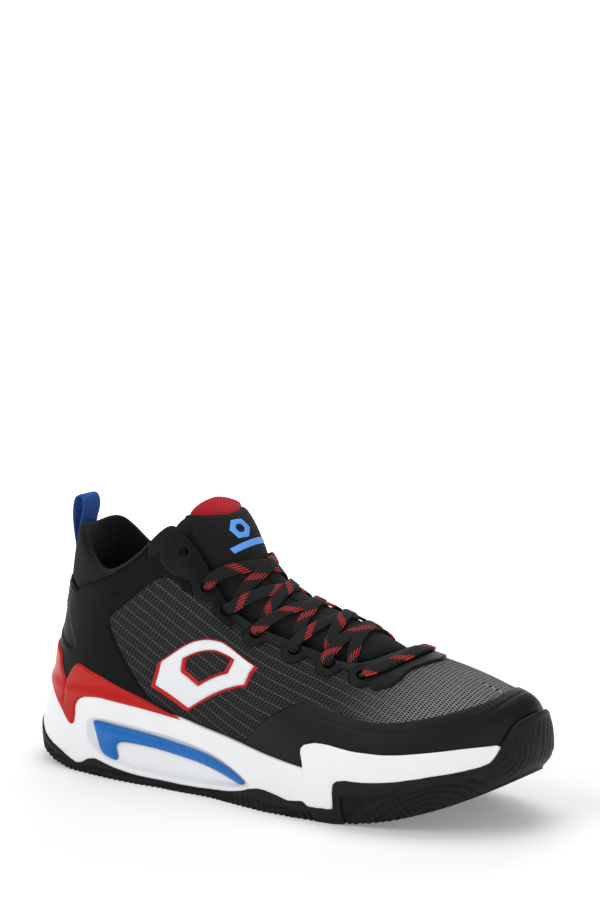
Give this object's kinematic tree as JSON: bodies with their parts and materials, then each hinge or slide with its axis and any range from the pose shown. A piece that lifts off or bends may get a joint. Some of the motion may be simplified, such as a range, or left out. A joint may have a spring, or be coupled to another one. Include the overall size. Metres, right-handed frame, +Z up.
{
  "type": "basketball high top shoe",
  "caption": "Mid-height lace-up basketball shoe for the right foot: cupped foam and rubber sole, mesh upper with fused overlays, padded knit collar, laced tongue and heel pull loop.",
  "frame": {"origin": "middle of the shoe's footprint box on the ground, z 0 at the tread", "axes": "+X along the shoe towards the toe, +Y towards the inner (big-toe) side, +Z up"},
  "size_m": [0.3095, 0.1094, 0.153],
  "materials": {
    "rubber_black": "matte",
    "foam_white": "matte",
    "film_red": "satin",
    "plastic_blue": "satin",
    "plastic_dark": "matte",
    "cloth_grey": "woven",
    "sock_black": "knit over foam",
    "mesh_grey": "woven mesh",
    "lining_black": "knit",
    "overlay_black": "fused synthetic film",
    "collar_black": "ribbed knit over foam",
    "tongue_black": "spacer mesh",
    "lining_red": "knit mesh",
    "print_blue": "matte",
    "webbing_grey": "woven webbing",
    "film_white": "satin",
    "lace_black": "braid with red flecks",
    "webbing_blue": "ribbed webbing"
  },
  "bodies": {
    "shoe": {"aglet_a": "plastic_dark", "aglet_b": "plastic_dark", "collar_pad": "collar_black", "eyestay": "overlay_black", "heel_counter": "plastic_dark", "heel_cradle": "film_red", "heel_overlay": "overlay_black", "insert_lateral": "plastic_blue", "insert_medial": "plastic_blue", "lace": "lace_black", "lace_keeper": "webbing_grey", "lining": "lining_black", "midsole": "foam_white", "mudguard": "overlay_black", "outsole": "rubber_black", "pull_base": "webbing_blue", "shank_plate": "plastic_dark", "side_border_lateral": "film_red", "side_border_medial": "film_red", "side_panel_lateral": "film_white", "side_panel_medial": "film_white", "side_rim_lateral": "film_red", "side_rim_medial": "film_red", "sockliner": "sock_black", "strobel_board": "cloth_grey", "toe_puff": "plastic_dark", "tongue_lower": "tongue_black", "upper_shell": "mesh_grey"},
    "tongue_flap": {"tongue_bar": "print_blue", "tongue_lining": "lining_red", "tongue_mark": "print_blue", "tongue_top": "tongue_black"},
    "pull_tab": {"pull_loop": "webbing_blue"}
  },
  "joints": [
    {"name": "tongue_fold", "type": "hinge", "parent": "shoe", "child": "tongue_flap", "pos_m": [-0.0144, 0.0009, 0.127], "axis": [0, 1, 0], "range_deg": [0, 22], "stiffness_Nm_per_rad": 0.05},
    {"name": "pull_tab_fold", "type": "hinge", "parent": "shoe", "child": "pull_tab", "pos_m": [-0.1359, 0.0009, 0.117], "axis": [0, -1, 0], "range_deg": [0, 70], "stiffness_Nm_per_rad": 0.01}
  ]
}
